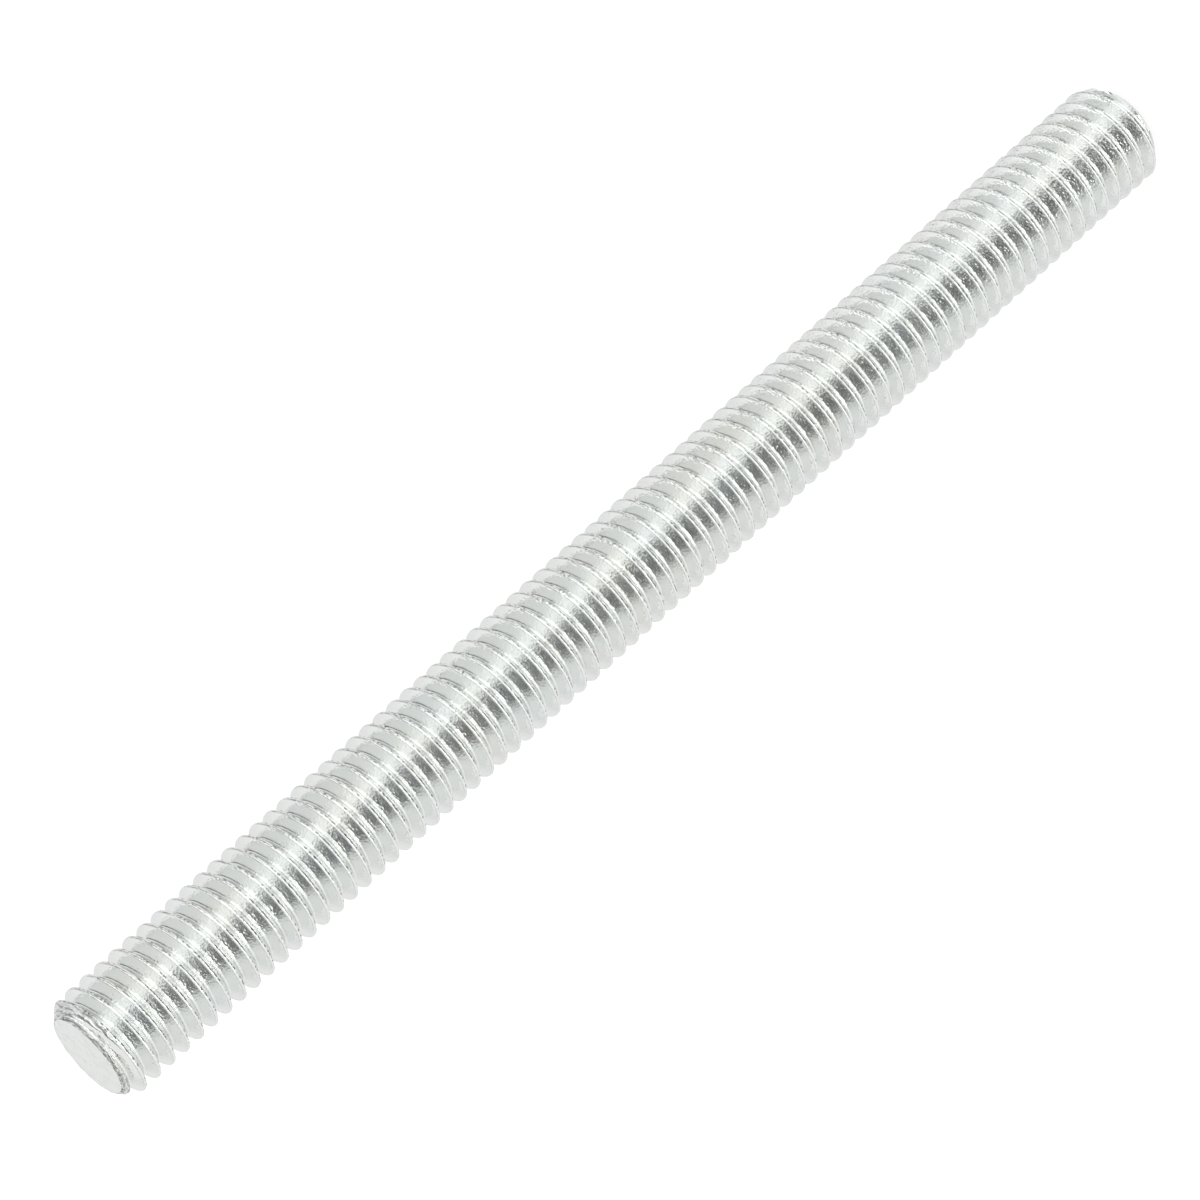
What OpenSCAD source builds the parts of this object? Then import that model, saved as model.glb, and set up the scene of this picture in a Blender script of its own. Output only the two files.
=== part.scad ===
// Threaded rod: a short length of zinc-plated steel bar, threaded from end to end.
// It stands on one sawn end. The axis is Z and the origin is the middle of the lower end face.
// The thread is a right-hand ISO metric one, with 60 degree flanks and a chamfer at each end.

/* [Rod] */
// Length over the two end faces
rod_length = 100; // [30:5:160]

/* [Thread] */
// Nominal diameter of the thread
thread_d = 8; // [6:0.5:16]
// Pitch, the advance in one turn
thread_pitch = 1.25; // [1:0.05:2]
// Angle between the two flanks of a groove
thread_angle = 60; // [55:1:65]
// How far the crests stay under the nominal diameter, so that a nut runs freely
crest_allowance = 0.1; // [0:0.02:0.3]
// Where round the rod the lower end face cuts the first crest, as an angle from X
thread_start = 210; // [0:5:355]

/* [Ends] */
// Depth of the chamfer, measured inward from the crests
chamfer_depth = 0.9; // [0.3:0.1:1.5]
// Slope of the chamfer against the axis
chamfer_angle = 45; // [30:5:60]

/* [Hidden] */

// An ISO thread is 17/24 as deep as the sharp triangle, and its crests are an eighth of the pitch wide
crest_r = (thread_d - crest_allowance) / 2;
sharp_depth = thread_pitch / (2 * tan(thread_angle / 2));
thread_depth = sharp_depth * 17 / 24;
root_r = crest_r - thread_depth;
crest_flat = thread_pitch / 8;
flank_run = thread_depth * tan(thread_angle / 2);
root_flat = thread_pitch - crest_flat - 2 * flank_run;

// Corners of one ridge and one groove, each as its height along the axis and its radius
ridge = [
    [0, crest_r],
    [crest_flat, crest_r],
    [crest_flat + flank_run, root_r],
    [crest_flat + flank_run + root_flat, root_r]
];
corners = len(ridge);
section = concat(ridge, [[thread_pitch, crest_r]]);

// Sides of the rod: a multiple of four, and as many as a budget of facets allows
max_facets = 12900;
max_sides = 48;
turns = rod_length / thread_pitch;
sides = 4 * floor(min(max_sides, max_facets / (2 * corners * turns)) / 4);

// Corners are counted up from one turn below the rod to one turn above it
rows = corners * (ceil(turns) + 3);

// Height in the section, for any height on the rod
function wrapped(h) = h - thread_pitch * floor(h / thread_pitch);

// Angle of one side of the rod, and how far the thread has risen there
function side_angle(side) = 360 * side / sides;
function rise(side) = thread_pitch * (side_angle(side) - thread_start) / 360;

// Radius of the endless thread at a height, on one side
function thread_r(side, z) = lookup(wrapped(z - rise(side)), section);

// Radius of the chamfer's cone at a height
function cone_r(z) = crest_r - chamfer_depth + min(z, rod_length - z) * tan(chamfer_angle);

// Height of a corner of the section, before the ends cut it off
function corner_z(side, row) =
    thread_pitch * (floor(row / corners) - 1) + ridge[row % corners][0] + rise(side);

// A corner as a point of the surface, kept between the two end faces
function corner_point(side, row) =
    let (
        z = min(rod_length, max(0, corner_z(side, row))),
        r = min(cone_r(z), thread_r(side, z))
    )
    [r * cos(side_angle(side)), r * sin(side_angle(side)), z];

// Row of a corner, where all that lie beyond an end face count as one
function kept_row(side, row) =
    corner_z(side, row) <= 0 ? 0 : corner_z(side, row) >= rod_length ? rows - 1 : row;

// Number of a corner. One turn on, the same corner is found a whole pitch further down the list
function corner_id(side, row) =
    side == sides
        ? corner_id(0, min(rows - 1, row + corners))
        : side * rows + kept_row(side, row);

// A triangle, left out where two of its corners are one
function facet(a, b, c) = a == b || b == c || c == a ? [] : [[a, b, c]];

module threaded_rod() {
    points = [
        for (side = [0 : sides - 1], row = [0 : rows - 1])
            corner_point(side, row)
    ];
    wall = [
        for (side = [0 : sides - 1], row = [0 : rows - 2])
            let (
                low = corner_id(side, row),
                high = corner_id(side, row + 1),
                next_low = corner_id(side + 1, row),
                next_high = corner_id(side + 1, row + 1)
            )
            each concat(facet(low, high, next_high), facet(low, next_high, next_low))
    ];
    lower_face = [for (side = [0 : sides - 1]) corner_id(side, 0)];
    upper_face = [for (side = [sides - 1 : -1 : 0]) corner_id(side, rows - 1)];
    color([0.80, 0.82, 0.83])
        polyhedron(points = points, faces = concat(wall, [lower_face, upper_face]), convexity = 10);
}

threaded_rod();
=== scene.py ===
import math

import bpy
from mathutils import Matrix, Vector, noise


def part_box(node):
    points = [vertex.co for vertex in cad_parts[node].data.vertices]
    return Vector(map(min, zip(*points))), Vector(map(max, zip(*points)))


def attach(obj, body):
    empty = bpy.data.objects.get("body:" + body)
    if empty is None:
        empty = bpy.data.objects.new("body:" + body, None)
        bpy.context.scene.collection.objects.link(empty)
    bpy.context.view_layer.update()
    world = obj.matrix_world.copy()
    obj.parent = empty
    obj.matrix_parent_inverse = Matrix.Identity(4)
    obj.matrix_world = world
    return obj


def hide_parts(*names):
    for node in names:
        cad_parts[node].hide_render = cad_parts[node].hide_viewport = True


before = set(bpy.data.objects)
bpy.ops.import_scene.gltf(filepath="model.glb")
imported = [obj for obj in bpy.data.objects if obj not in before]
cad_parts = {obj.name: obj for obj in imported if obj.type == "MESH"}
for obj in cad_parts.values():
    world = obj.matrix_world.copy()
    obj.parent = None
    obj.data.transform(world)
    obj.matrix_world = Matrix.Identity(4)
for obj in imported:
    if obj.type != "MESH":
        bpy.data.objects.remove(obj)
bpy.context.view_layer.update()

rodLow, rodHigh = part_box("threaded_rod")
rodLength = rodHigh.z - rodLow.z
crestRadius = rodHigh.x
millimetre = 0.001

bpy.context.scene.view_settings.view_transform = "Standard"


def putToolsDown():
    # everything deselected, so that an operator only touches the piece in hand
    if bpy.context.object and bpy.context.object.mode != "OBJECT":
        bpy.ops.object.mode_set(mode="OBJECT")
    bpy.ops.object.select_all(action="DESELECT")


def takeInHand(piece):
    putToolsDown()
    piece.select_set(True)
    bpy.context.view_layer.objects.active = piece


def applyModifier(piece, kind, name, settings):
    takeInHand(piece)
    modifier = piece.modifiers.new(name, kind)
    for setting, value in settings.items():
        setattr(modifier, setting, value)
    bpy.ops.object.modifier_apply(modifier=name)


class Wire:
    # a shader socket that can be used in sums
    def __init__(self, tree, socket=None):
        self.tree = tree
        self.socket = socket

    def node(self, kind, settings=None, sockets=None, output=0):
        made = self.tree.nodes.new(kind)
        for name, value in (settings or {}).items():
            if name == "stops":
                setStops(made.color_ramp, value)
            else:
                setattr(made, name, value)
        for name, value in (sockets or {}).items():
            if isinstance(value, Wire):
                self.tree.links.new(value.socket, made.inputs[name])
            else:
                made.inputs[name].default_value = value
        return Wire(self.tree, made.outputs[output]) if made.outputs else made

    def math(self, operation, *values):
        return self.node("ShaderNodeMath", {"operation": operation}, dict(enumerate(values)))

    def __add__(self, other):
        return self.math("ADD", self, other)

    def __sub__(self, other):
        return self.math("SUBTRACT", self, other)

    def __rsub__(self, other):
        return self.math("SUBTRACT", other, self)

    def __mul__(self, other):
        return self.math("MULTIPLY", self, other)

    def __rmul__(self, other):
        return self.math("MULTIPLY", other, self)

    def __truediv__(self, other):
        return self.math("DIVIDE", self, other)

    def __abs__(self):
        return self.math("ABSOLUTE", self)

    def between(self, low, high, atLow=0.0, atHigh=1.0):
        # eases from one value to the other while the wire goes from low to high
        return self.node("ShaderNodeMapRange", {"interpolation_type": "SMOOTHSTEP"}, {
            "Value": self, "From Min": low, "From Max": high, "To Min": atLow, "To Max": atHigh})

    def mixColours(self, first, second):
        # the wire is the share of the second colour
        return self.node("ShaderNodeMix", {"data_type": "RGBA"}, {0: self, 6: first, 7: second}, 2)

    def xyz(self):
        parts = self.tree.nodes.new("ShaderNodeSeparateXYZ")
        self.tree.links.new(self.socket, parts.inputs[0])
        return [Wire(self.tree, output) for output in parts.outputs]


def emptyTree(owner):
    owner.use_nodes = True
    owner.node_tree.nodes.clear()
    return Wire(owner.node_tree)


def setStops(ramp, stops):
    ramp.elements.remove(ramp.elements[1])
    ramp.elements[0].position, ramp.elements[0].color = stops[0]
    for position, colour in stops[1:]:
        ramp.elements.new(position).color = colour


def grey(level):
    return (level, level, level, 1.0)


cameraPlace = {
    "aimHeight": 0.5354,      # where the view's middle meets the rod's axis, as a share of its length
    "aimSide": -0.00024,      # a little off the axis
    "distance": 0.34996,
    "azimuth": 0.042,         # degrees round from the front
    "elevation": 22.64,       # degrees above the horizon
    "roll": -132.02,          # the rod lies across the frame, its upper end to the lower left
    "lens": 159.4,
    "sensorWidth": 36.0,
    "clipStart": 0.01,
    "clipEnd": 20.0,
}


def makeCamera():
    azimuth = math.radians(cameraPlace["azimuth"])
    elevation = math.radians(cameraPlace["elevation"])
    back = Vector((
        math.sin(azimuth) * math.cos(elevation),
        -math.cos(azimuth) * math.cos(elevation),
        math.sin(elevation)))
    aim = Vector((cameraPlace["aimSide"], 0.0, rodLow.z + cameraPlace["aimHeight"] * rodLength))
    putToolsDown()
    bpy.ops.object.camera_add(location=aim + back * cameraPlace["distance"])
    camera = bpy.context.object
    camera.name = "mainCamera"
    camera.data.lens = cameraPlace["lens"]
    camera.data.sensor_width = cameraPlace["sensorWidth"]
    camera.data.clip_start = cameraPlace["clipStart"]
    camera.data.clip_end = cameraPlace["clipEnd"]
    upright = (-back).to_track_quat("-Z", "Y").to_matrix()
    roll = Matrix.Rotation(math.radians(cameraPlace["roll"]), 3, "Z")
    camera.rotation_euler = (upright @ roll).to_euler()
    bpy.context.scene.camera = camera
    print("camera placed")


rodShape = {
    "pitch": 1.25 * millimetre,
    "flankTilt": math.radians(30),          # each flank, from the square-on direction
    "crestShift": 0.580 * millimetre,       # height of the first crest on the +X side
    "crestClearance": 0.004 * millimetre,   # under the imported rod's crests
    "crestFlat": 0.045 * millimetre,
    "crestRounding": 0.100 * millimetre,    # of the crest's two corners
    "crestAngles": (0, 30, 60),
    "rootRounding": 0.135 * millimetre,
    "rootAngles": (60, 40, 20),
    "flankSupports": (0.07, 0.93),          # extra rows near each end of a flank keep it flat
    "stepsPerTurn": 48,
    "spareTurns": 2,                        # past each end, to be sawn off
    "mergeDistance": 0.001 * millimetre,
    "sawPrecision": 0.00001 * millimetre,
    # how far out the metal may stand, as (depth from the end, radius) in millimetres: a plain
    # chamfer on the upper end, and a rounder one on the lower end
    "upperChamfer": ((0.0, 3.05), (0.9, 3.95)),
    "lowerChamfer": ((0.0, 2.35), (0.15, 2.72), (0.42, 3.10), (0.8, 3.53), (1.25, 3.95)),
    "chamferReach": 1.4 * millimetre,
    "fineEnd": 1.15 * millimetre,           # depth of the finer mesh
    "fineCuts": 3,
    "fineCorners": 8,                       # a face with as many corners is a sawn end
    "waveSize": 0.5 * millimetre,
    "waveHeight": 0.05 * millimetre,
    "leastEdge": 0.0005 * millimetre,
    "smoothAngle": math.radians(38),
}


def threadOutline(shape):
    # half of one ridge, from its crest to the middle of the groove, as distance along and radius
    top = crestRadius - shape["crestClearance"]
    crest, root = shape["crestRounding"], shape["rootRounding"]
    half = [(0.0, top)]
    for degrees in shape["crestAngles"]:
        angle = math.radians(degrees)
        half.append((
            shape["crestFlat"] / 2 + crest * math.sin(angle),
            top - crest + crest * math.cos(angle)))
    flankStart = Vector(half[-1])
    turn = math.radians(shape["rootAngles"][0])
    flankEndAlong = shape["pitch"] / 2 - root * math.sin(turn)
    flankEnd = Vector((
        flankEndAlong,
        flankStart.y - (flankEndAlong - flankStart.x) / math.tan(shape["flankTilt"])))
    half += [tuple(flankStart.lerp(flankEnd, share)) for share in shape["flankSupports"]]
    rootCentre = flankEnd.y + root * math.cos(turn)
    for degrees in shape["rootAngles"]:
        angle = math.radians(degrees)
        half.append((
            shape["pitch"] / 2 - root * math.sin(angle),
            rootCentre - root * math.cos(angle)))
    half.append((shape["pitch"] / 2, rootCentre - root))
    mirrored = [(-along, radius) for along, radius in reversed(half[1:])]
    return mirrored + half


def drawThread(shape):
    outline = threadOutline(shape)
    firstCrest = rodLow.z + shape["crestShift"] - shape["spareTurns"] * shape["pitch"]
    putToolsDown()
    bpy.ops.mesh.primitive_plane_add(size=millimetre)
    thread = bpy.context.object
    thread.name = "threadedRodSteel"
    bpy.ops.object.mode_set(mode="EDIT")
    bpy.ops.mesh.merge(type="CENTER")
    along, radius = outline[0]
    bpy.ops.transform.translate(value=(radius, 0.0, firstCrest + along))
    for (along, radius), (nextAlong, nextRadius) in zip(outline, outline[1:]):
        bpy.ops.mesh.extrude_region_move(TRANSFORM_OT_translate={
            "value": (nextRadius - radius, 0.0, nextAlong - along)})
    bpy.ops.object.mode_set(mode="OBJECT")
    turns = math.ceil(rodLength / shape["pitch"]) + 2 * shape["spareTurns"]
    applyModifier(thread, "SCREW", "turns", {
        "axis": "Z",
        "angle": 2 * math.pi,
        "screw_offset": shape["pitch"],
        "iterations": turns,
        "steps": shape["stepsPerTurn"],
        "render_steps": shape["stepsPerTurn"],
        "use_smooth_shade": True,
    })
    bpy.ops.object.mode_set(mode="EDIT")
    bpy.ops.mesh.select_all(action="SELECT")
    bpy.ops.mesh.remove_doubles(threshold=shape["mergeDistance"])
    # sawn off square at both ends, and closed
    for height, side in ((rodLow.z, "clear_inner"), (rodHigh.z, "clear_outer")):
        bpy.ops.mesh.select_all(action="SELECT")
        bpy.ops.mesh.bisect(
            plane_co=(0, 0, height), plane_no=(0, 0, 1), use_fill=True,
            threshold=shape["sawPrecision"], **{side: True})
    bpy.ops.mesh.select_all(action="SELECT")
    bpy.ops.mesh.normals_make_consistent(inside=False)
    bpy.ops.mesh.select_all(action="DESELECT")
    bpy.ops.object.mode_set(mode="OBJECT")
    return thread


def fromNearerEnd(height):
    return min(height - rodLow.z, rodHigh.z - height)


def chamferLimit(steps, depth):
    for (fromDepth, fromRadius), (toDepth, toRadius) in zip(steps, steps[1:]):
        if depth <= toDepth * millimetre:
            share = (depth / millimetre - fromDepth) / (toDepth - fromDepth)
            return (fromRadius + share * (toRadius - fromRadius)) * millimetre
    return crestRadius


def chamferEnds(thread, shape):
    # a finer mesh at the ends first, all but the two sawn faces
    for face in thread.data.polygons:
        nearEnd = fromNearerEnd(face.center.z) < shape["fineEnd"]
        face.select = nearEnd and len(face.vertices) < shape["fineCorners"]
    bpy.ops.object.mode_set(mode="EDIT")
    bpy.ops.mesh.select_mode(type="FACE")
    bpy.ops.mesh.subdivide(number_cuts=shape["fineCuts"])
    bpy.ops.object.mode_set(mode="OBJECT")
    # nothing stands outside a slightly wavy cone that narrows to each sawn face
    middle = (rodLow.z + rodHigh.z) / 2
    for vertex in thread.data.vertices:
        depth = fromNearerEnd(vertex.co.z)
        if depth < shape["chamferReach"]:
            steps = shape["upperChamfer"] if vertex.co.z > middle else shape["lowerChamfer"]
            wave = noise.noise(vertex.co / shape["waveSize"]) * shape["waveHeight"]
            limit = chamferLimit(steps, depth) + wave
            radius = math.hypot(vertex.co.x, vertex.co.y)
            if radius > limit:
                vertex.co.x *= limit / radius
                vertex.co.y *= limit / radius


def makeRod(shape):
    thread = drawThread(shape)
    chamferEnds(thread, shape)
    takeInHand(thread)
    # the saw cuts leave some faces with hardly any area
    bpy.ops.object.mode_set(mode="EDIT")
    bpy.ops.mesh.select_all(action="SELECT")
    bpy.ops.mesh.dissolve_degenerate(threshold=shape["leastEdge"])
    bpy.ops.object.mode_set(mode="OBJECT")
    bpy.ops.object.shade_smooth_by_angle(angle=shape["smoothAngle"])
    print("rod threaded:", len(thread.data.vertices), "points")
    return thread


# All lengths are in millimetres. A size is that of a noise's clouds or cells, and an edge is where
# a mask starts and where it is full.
zincLook = {
    "plain": (0.842, 0.86, 0.842, 1.0),
    "cool": (0.838, 0.86, 0.852, 1.0),
    "warm": (0.852, 0.86, 0.836, 1.0),
    "tintSize": 4.0,
    "coolEdge": (0.45, 0.68),
    "warmEdge": (0.50, 0.30),
    "crestEdge": (3.86, 3.90),        # radii
    "grooveEdge": (3.30, 3.24),
    # painted shade: a broken line of dark dots along one shoulder of each crest; its dark grey also
    # paints the shade in the chamfer's rings and round the sawn face
    "paintedShade": (0.12, 0.13, 0.12, 1.0),
    "paintedShadeSize": 0.27,
    "paintedShadeEdge": (0.48, 0.37),
    "paintedShadeShare": 0.9,
    "shadeLineFromCrest": -0.088,
    "shadeLineEdge": (0.086, 0.056),        # to each side of the line
    "shadeLineWanderSize": 0.5,
    "shadeLineWander": 0.06,
    # darker patches in the grooves
    "grooveDarkening": (0.70, 0.71, 0.67, 1.0),
    "grooveDarkeningSize": 0.8,
    "grooveDarkeningEdge": (0.45, 0.65),
    "grooveDarkeningShare": 0.4,
    # the chamfer's uneven turning rings, as bumps, with painted shade in their dark bands
    "coneEdge": (2.91, 2.98),         # radius less depth, along the chamfer's cone
    "coneEnd": (1.0, 0.85),           # depths
    "coneStart": (0.0, 0.02),
    "ringSpacing": 0.24,
    "ringWanderSize": 0.9,
    "ringWander": 1.6,
    "ringEdge": (0.45, 0.95),
    "ringBreakSize": 0.45,
    "ringBreakEdge": (0.35, 0.55),
    "ringShare": 0.75,
    "ringHeight": 0.08,
    "tornHeight": 0.10,
    # painted shade in a broken dark line round the sawn face's edge, where it meets the chamfer
    "rimRadius": 3.05,
    "rimEdge": (0.08, 0.01),
    "rimDepth": (0.10, 0.05),
    "rimWanderSize": 0.5,
    "rimWander": 0.12,
    "rimBreakSize": 0.35,
    "rimBreakEdge": (0.36, 0.54),
    "rimShare": 0.8,
    "roughnessSize": 1.6,
    "roughnessEdge": (0.3, 0.7),
    "roughness": (0.07, 0.18),
    "grainSize": 0.16,
    "grainHeight": 0.0135,
    "rippleSize": 0.5,
    "rippleHeight": 0.009,
    "burrSize": 0.22,                 # on the crests, and on the chamfers
    "burrHeight": 0.05,
}


def makeZinc(look, shape):
    material = bpy.data.materials.new("zincPlatedSteel")
    wire = emptyTree(material)
    metres = wire.node("ShaderNodeTexCoord", output=3)
    place = wire.node("ShaderNodeVectorMath", {"operation": "SCALE"}, {
        0: metres, "Scale": 1 / millimetre})
    x, y, z = place.xyz()
    pitch = shape["pitch"] / millimetre
    radius = wire.math("SQRT", x * x + y * y)
    turn = wire.math("ARCTAN2", y, x) / (2 * math.pi)

    # distance along the rod from the nearest crest
    ridges = (z - shape["crestShift"] / millimetre) / pitch - turn
    fromCrest = (wire.math("FRACT", ridges + 0.5) - 0.5) * pitch
    crest = radius.between(*look["crestEdge"])
    groove = radius.between(*look["grooveEdge"])

    def clouds(size, detail=2.0):
        return wire.node("ShaderNodeTexNoise", {"noise_dimensions": "3D"}, {
            "Vector": place, "Scale": 1 / size, "Detail": detail, "Roughness": 0.5})

    def cells(size):
        return wire.node("ShaderNodeTexVoronoi", {"feature": "F1"}, {
            "Vector": place, "Scale": 1 / size})

    # colour: slow warm and cool drifts, painted shade in dark dots along one shoulder of each crest,
    # darker patches in the grooves
    drift = clouds(look["tintSize"])
    colour = drift.between(*look["coolEdge"]).mixColours(look["plain"], look["cool"])
    colour = drift.between(*look["warmEdge"]).mixColours(colour, look["warm"])
    shadeLineWander = (clouds(look["shadeLineWanderSize"]) - 0.5) * look["shadeLineWander"]
    fromShadeLine = abs(fromCrest - look["shadeLineFromCrest"] + shadeLineWander)
    # painted shade: broken dark dots along one shoulder of each crest
    paintedShades = cells(look["paintedShadeSize"]).between(*look["paintedShadeEdge"]) * fromShadeLine.between(*look["shadeLineEdge"])
    colour = (paintedShades * crest * look["paintedShadeShare"]).mixColours(colour, look["paintedShade"])
    # darker patches in the grooves
    grooveDarkening = groove * clouds(look["grooveDarkeningSize"], 3.0).between(*look["grooveDarkeningEdge"])
    colour = (grooveDarkening * look["grooveDarkeningShare"]).mixColours(colour, look["grooveDarkening"])

    # the ends: turning rings on the chamfer with painted shade in their bands, and a broken line of
    # painted shade round the sawn face's edge
    depth = wire.math("MINIMUM", z - rodLow.z / millimetre, rodHigh.z / millimetre - z)
    onChamfer = (radius - depth).between(*look["coneEdge"])
    onChamfer = onChamfer * depth.between(*look["coneEnd"]) * depth.between(*look["coneStart"])
    ringWander = clouds(look["ringWanderSize"], 1.0) * look["ringWander"]
    rings = wire.math("SINE", (depth / look["ringSpacing"] + ringWander) * (2 * math.pi))
    ringBreaks = clouds(look["ringBreakSize"]).between(*look["ringBreakEdge"])
    # painted shade in the dark bands of the rings
    ringShade = onChamfer * rings.between(*look["ringEdge"]) * ringBreaks
    colour = (ringShade * look["ringShare"]).mixColours(colour, look["paintedShade"])
    # painted shade: a broken dark line round the sawn face's edge
    rimWander = (clouds(look["rimWanderSize"]) - 0.5) * look["rimWander"]
    fromRim = abs(radius - look["rimRadius"] + rimWander)
    rim = fromRim.between(*look["rimEdge"]) * depth.between(*look["rimDepth"])
    rimBreaks = clouds(look["rimBreakSize"]).between(*look["rimBreakEdge"])
    colour = (rim * rimBreaks * look["rimShare"]).mixColours(colour, look["paintedShade"])

    roughness = clouds(look["roughnessSize"], 3.0).between(
        *look["roughnessEdge"], *look["roughness"])

    burr = clouds(look["burrSize"], 1.0)
    height = (
        cells(look["grainSize"]) * look["grainHeight"]
        + clouds(look["rippleSize"]) * look["rippleHeight"]
        + burr * crest * look["burrHeight"]
        + onChamfer * (rings * look["ringHeight"] + burr * look["tornHeight"]))
    bump = wire.node("ShaderNodeBump", {}, {
        "Strength": 1.0, "Distance": millimetre, "Height": height})

    surface = wire.node("ShaderNodeBsdfPrincipled", {}, {
        "Base Color": colour, "Metallic": 1.0, "Roughness": roughness, "Normal": bump})
    wire.node("ShaderNodeOutputMaterial", {}, {"Surface": surface})
    print("zinc plated")
    return material


studio = {
    "floorSize": 3.0,
    "floorGlow": 0.80,
    "floorColour": 0.30,
    # brightness all round, as (degrees from the front towards -X, level), for five bands of height
    "ceilingPanels": (
        (-180, 0.93), (-125, 0.96), (-100, 1.50), (-62, 1.60), (-30, 1.05), (0, 0.92), (180, 0.93)),
    "wallPanels": (
        (-180, 0.96), (-160, 0.92), (-148, 0.88), (-138, 0.76), (-124, 0.60), (-112, 0.46),
        (-62, 0.44), (-50, 0.92), (-38, 1.32), (-16, 1.42), (-3, 1.00), (5, 0.94), (14, 1.08),
        (40, 1.16), (58, 1.24), (76, 1.04), (96, 0.95), (122, 0.83), (150, 0.74), (165, 0.86),
        (180, 0.96)),
    "skirtPanels": (
        (-180, 0.84), (-140, 0.80), (-120, 0.74), (-106, 0.76), (-64, 0.80), (-50, 1.00),
        (-38, 1.60), (-16, 1.90), (-4, 1.10), (5, 1.50), (14, 2.50), (38, 2.80), (58, 3.20),
        (76, 2.00), (96, 1.10), (122, 0.76), (150, 0.64), (180, 0.84)),
    "lowPanels": (
        (-180, 0.85), (-115, 0.88), (-75, 0.92), (-55, 1.03), (-38, 1.30), (-24, 1.18),
        (-15, 0.90), (-7, 0.40), (2, 0.15), (30, 0.14), (45, 0.28), (58, 0.46), (66, 0.68),
        (74, 0.90), (95, 0.97), (122, 0.92), (180, 0.85)),
    "deepPanels": (
        (-180, 0.85), (-75, 0.92), (-55, 1.03), (-38, 1.30), (-24, 1.14), (-15, 0.90), (-7, 0.60),
        (2, 0.40), (22, 0.34), (38, 0.20), (50, 0.22), (64, 0.55), (74, 0.85), (95, 0.97),
        (180, 0.85)),
    # heights on the unit sphere where one band passes into the next
    "ceilingEdge": (0.44, 0.52),
    "skirtEdge": (-0.14, -0.06),
    "lowTilt": 0.35,          # the low and deep bands reach higher at the back
    "lowEdge": (-0.06, 0.04),
    "deepEdge": (-0.38, -0.24),
    # a dark board on the left, as (starts, is full) going round from each side, and in height
    "boardAzimuths": ((-144, -134), (-52, -62)),
    "boardEdge": (0.14, 0.22),
    "boardLevel": 0.08,
}


def makeStudioLight():
    world = bpy.data.worlds.new("studioLight")
    bpy.context.scene.world = world
    wire = emptyTree(world)
    x, y, z = wire.node("ShaderNodeTexCoord", output=0).xyz()
    azimuth = wire.math("ARCTAN2", -1.0 * x, -1.0 * y) / (2 * math.pi) + 0.5

    def shareOfTurn(degrees):
        return (degrees + 180) / 360

    def allRound(panels):
        stops = [(shareOfTurn(degrees), grey(level)) for degrees, level in panels]
        return wire.node("ShaderNodeValToRGB", {"stops": stops}, {"Fac": azimuth})

    light = z.between(*studio["skirtEdge"]).mixColours(
        allRound(studio["skirtPanels"]), allRound(studio["wallPanels"]))
    tilted = z - studio["lowTilt"] * y
    low = tilted.between(*studio["deepEdge"]).mixColours(
        allRound(studio["deepPanels"]), allRound(studio["lowPanels"]))
    light = tilted.between(*studio["lowEdge"]).mixColours(low, light)
    board = z.between(*studio["boardEdge"])
    for start, full in studio["boardAzimuths"]:
        board = board * azimuth.between(shareOfTurn(start), shareOfTurn(full))
    light = board.mixColours(light, grey(studio["boardLevel"]))
    light = z.between(*studio["ceilingEdge"]).mixColours(light, allRound(studio["ceilingPanels"]))
    # white behind the rod
    cameraRay = wire.node("ShaderNodeLightPath", output=0)
    light = cameraRay.mixColours(light, grey(1.0))
    background = wire.node("ShaderNodeBackground", {}, {"Color": light, "Strength": 1.0})
    wire.node("ShaderNodeOutputWorld", {}, {"Surface": background})
    print("studio lit")


def makeFloor():
    putToolsDown()
    bpy.ops.mesh.primitive_plane_add(size=studio["floorSize"], location=(0, 0, rodLow.z))
    floor = bpy.context.object
    floor.name = "studioFloor"
    bpy.ops.object.transform_apply(location=True, rotation=True, scale=True)
    floor.visible_glossy = False
    material = bpy.data.materials.new("paleFloor")
    wire = emptyTree(material)
    cameraRay = wire.node("ShaderNodeLightPath", output=0)
    glow = wire.node("ShaderNodeEmission", {}, {
        "Color": grey(1.0), "Strength": cameraRay * studio["floorGlow"]})
    paint = wire.node("ShaderNodeBsdfDiffuse", {}, {"Color": grey(studio["floorColour"])})
    both = wire.node("ShaderNodeAddShader", {}, {0: glow, 1: paint})
    wire.node("ShaderNodeOutputMaterial", {}, {"Surface": both})
    floor.data.materials.append(material)
    print("floor laid")


makeCamera()
rod = makeRod(rodShape)
rod.data.materials.append(makeZinc(zincLook, rodShape))
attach(rod, "root")
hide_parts("threaded_rod")
makeStudioLight()
makeFloor()
